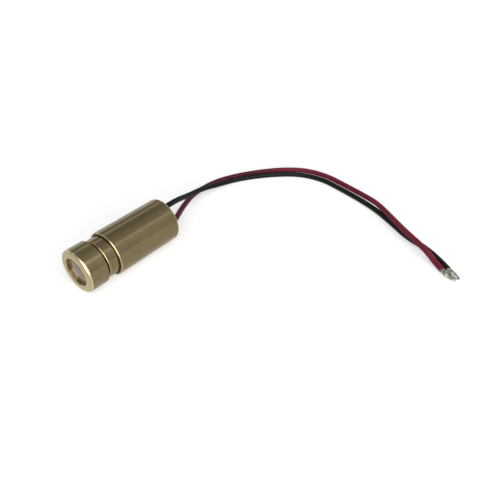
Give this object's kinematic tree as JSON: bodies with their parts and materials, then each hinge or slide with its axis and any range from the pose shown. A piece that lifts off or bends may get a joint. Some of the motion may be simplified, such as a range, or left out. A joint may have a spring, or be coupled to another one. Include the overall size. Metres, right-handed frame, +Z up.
{
  "type": "laser diode module",
  "caption": "Turned brass laser module: a cylindrical barrel with a stepped screw-in focusing head, a lens in its front aperture and a red and a black supply wire.",
  "frame": {"origin": "on the optical axis, halfway along the barrel", "axes": "+X along the optical axis, the way the beam leaves; +Z up as the module lies on its side; +Y by the right-hand rule"},
  "size_m": [0.0634, 0.0602, 0.009],
  "materials": {
    "brass": "turned, dull satin",
    "lens": "moulded clear",
    "spring_steel": "drawn wire",
    "gilt_steel": "plated",
    "nickel_plate": "plated",
    "window_glass": "polished",
    "copper": "satin",
    "chip": "matte",
    "seal_glass": "fused",
    "board": "solder mask",
    "tin": "solder",
    "resistor": "matte",
    "capacitor": "matte",
    "transistor": "moulded",
    "red_insulation": "extruded",
    "black_insulation": "extruded"
  },
  "bodies": {
    "module": {"barrel": "brass", "diode_stem": "gilt_steel", "diode_cap": "nickel_plate", "diode_window": "window_glass", "diode_submount": "copper", "laser_chip": "chip", "monitor_photodiode": "chip", "laser_lead": "gilt_steel", "monitor_lead": "gilt_steel", "common_lead": "gilt_steel", "laser_seal": "seal_glass", "monitor_seal": "seal_glass", "driver_board": "board", "laser_lead_solder": "tin", "monitor_lead_solder": "tin", "common_lead_solder": "tin", "red_solder": "tin", "black_solder": "tin", "series_resistor": "resistor", "filter_capacitor": "capacitor", "driver_transistor": "transistor", "transistor_leg_1": "tin", "transistor_leg_2": "tin", "transistor_leg_3": "tin", "red_core": "tin", "black_core": "tin", "red_wire": "red_insulation", "black_wire": "black_insulation", "red_tinned_tip": "tin", "black_tinned_tip": "tin"},
    "spring_stage": {"focus_spring": "spring_steel"},
    "focusing_cell": {"lens_cell": "brass", "collimating_lens": "lens", "lens_retainer": "brass"}
  },
  "joints": [
    {"name": "focus_travel", "type": "slide", "parent": "module", "child": "spring_stage", "axis": [1, 0, 0], "range_m": [-0.0021, 0.0015], "deforming": ["focus_spring"]},
    {"name": "focus_turn", "type": "hinge", "parent": "spring_stage", "child": "focusing_cell", "pos_m": [0.01, 0, 0], "axis": [1, 0, 0], "range_deg": [-1513, 1081]}
  ],
  "couplings": [
    {"joint": "focus_turn", "follows": "focus_travel", "rad_per_m": 12566}
  ]
}
